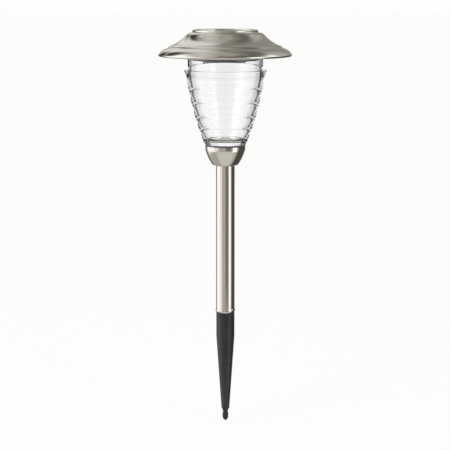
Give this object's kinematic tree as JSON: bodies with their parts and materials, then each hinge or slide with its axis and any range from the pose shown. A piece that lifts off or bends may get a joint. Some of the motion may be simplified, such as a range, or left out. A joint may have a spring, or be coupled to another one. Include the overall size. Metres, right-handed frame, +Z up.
{
  "type": "solar garden light",
  "caption": "Solar garden light: a spun steel hat with a solar panel on a ribbed glass lens, on a steel tube that pushes onto a plastic ground spike.",
  "frame": {"origin": "on the axis at ground level, where the tube's foot rests on the spike's shoulder", "axes": "+Z up along the tube, -Y towards the front (the battery side of the case), +X to the right"},
  "size_m": [0.1336, 0.1336, 0.4014],
  "materials": {
    "spike_plastic": "satin moulded",
    "tube_steel": "satin polished stainless",
    "cup_steel": "polished stainless",
    "hat_steel": "polished stainless",
    "lens_glass": "clear, ribbed",
    "black_plastic": "fine moulded grain",
    "bezel_plastic": "gloss",
    "gasket_rubber": "matt",
    "seal_silicone": "satin",
    "bond_clear": "translucent",
    "panel_board": "printed",
    "silicon": "polycrystalline, blue",
    "panel_resin": "clear resin",
    "screw_steel": "zinc plated",
    "board_green": "solder mask",
    "ferrite": "ferrite with a shrink sleeve",
    "chip_epoxy": "epoxy",
    "ceramic_disc": "dipped",
    "led_epoxy": "water clear",
    "tinned_wire": "tinned",
    "cell_sleeve": "shrink sleeve",
    "nickel": "nickel plated",
    "knob_plastic": "moulded",
    "wire_red": "insulated",
    "wire_black": "insulated"
  },
  "bodies": {
    "stake": {"spike": "spike_plastic"},
    "post": {"pole": "tube_steel"},
    "lantern": {"base_cup": "cup_steel", "pole_socket": "black_plastic", "cup_gasket": "gasket_rubber", "lens_bond": "bond_clear", "lens": "lens_glass"},
    "battery_door": {"battery_door": "black_plastic"},
    "switch": {"switch_knob": "knob_plastic"},
    "top": {"shade": "hat_steel", "panel_bezel": "bezel_plastic", "panel_gasket": "gasket_rubber", "panel_tray": "black_plastic", "solar_backboard": "panel_board", "solar_cells": "silicon", "panel_cover": "panel_resin", "case": "black_plastic", "case_screws": "screw_steel", "seal_ring": "seal_silicone", "circuit_board": "board_green", "board_screws": "screw_steel", "inductor": "ferrite", "driver_chip": "chip_epoxy", "capacitor": "ceramic_disc", "led": "led_epoxy", "led_leads": "tinned_wire", "battery": "cell_sleeve", "battery_spring": "nickel", "spring_plate": "nickel", "battery_contact": "nickel", "hinge_pin": "nickel", "switch_case": "black_plastic", "switch_screws": "screw_steel", "switch_wires": "wire_black", "panel_wire_red": "wire_red", "panel_wire_black": "wire_black", "battery_wire_red": "wire_red", "battery_wire_black": "wire_black"}
  },
  "joints": [
    {"name": "pole_lift", "type": "slide", "parent": "stake", "child": "post", "axis": [0, 0, 1], "range_m": [0, 0.042]},
    {"name": "lantern_lift", "type": "slide", "parent": "post", "child": "lantern", "axis": [0, 0, 1], "range_m": [0, 0.04]},
    {"name": "top_lift", "type": "slide", "parent": "lantern", "child": "top", "axis": [0, 0, 1], "range_m": [0, 0.025]},
    {"name": "door_hinge", "type": "hinge", "parent": "top", "child": "battery_door", "pos_m": [-0.0199, -0.0145, 0.2529], "axis": [0, 1, 0], "range_deg": [0, 75]},
    {"name": "switch_slide", "type": "slide", "parent": "top", "child": "switch", "axis": [1, 0, 0], "range_m": [0, 0.003]}
  ]
}
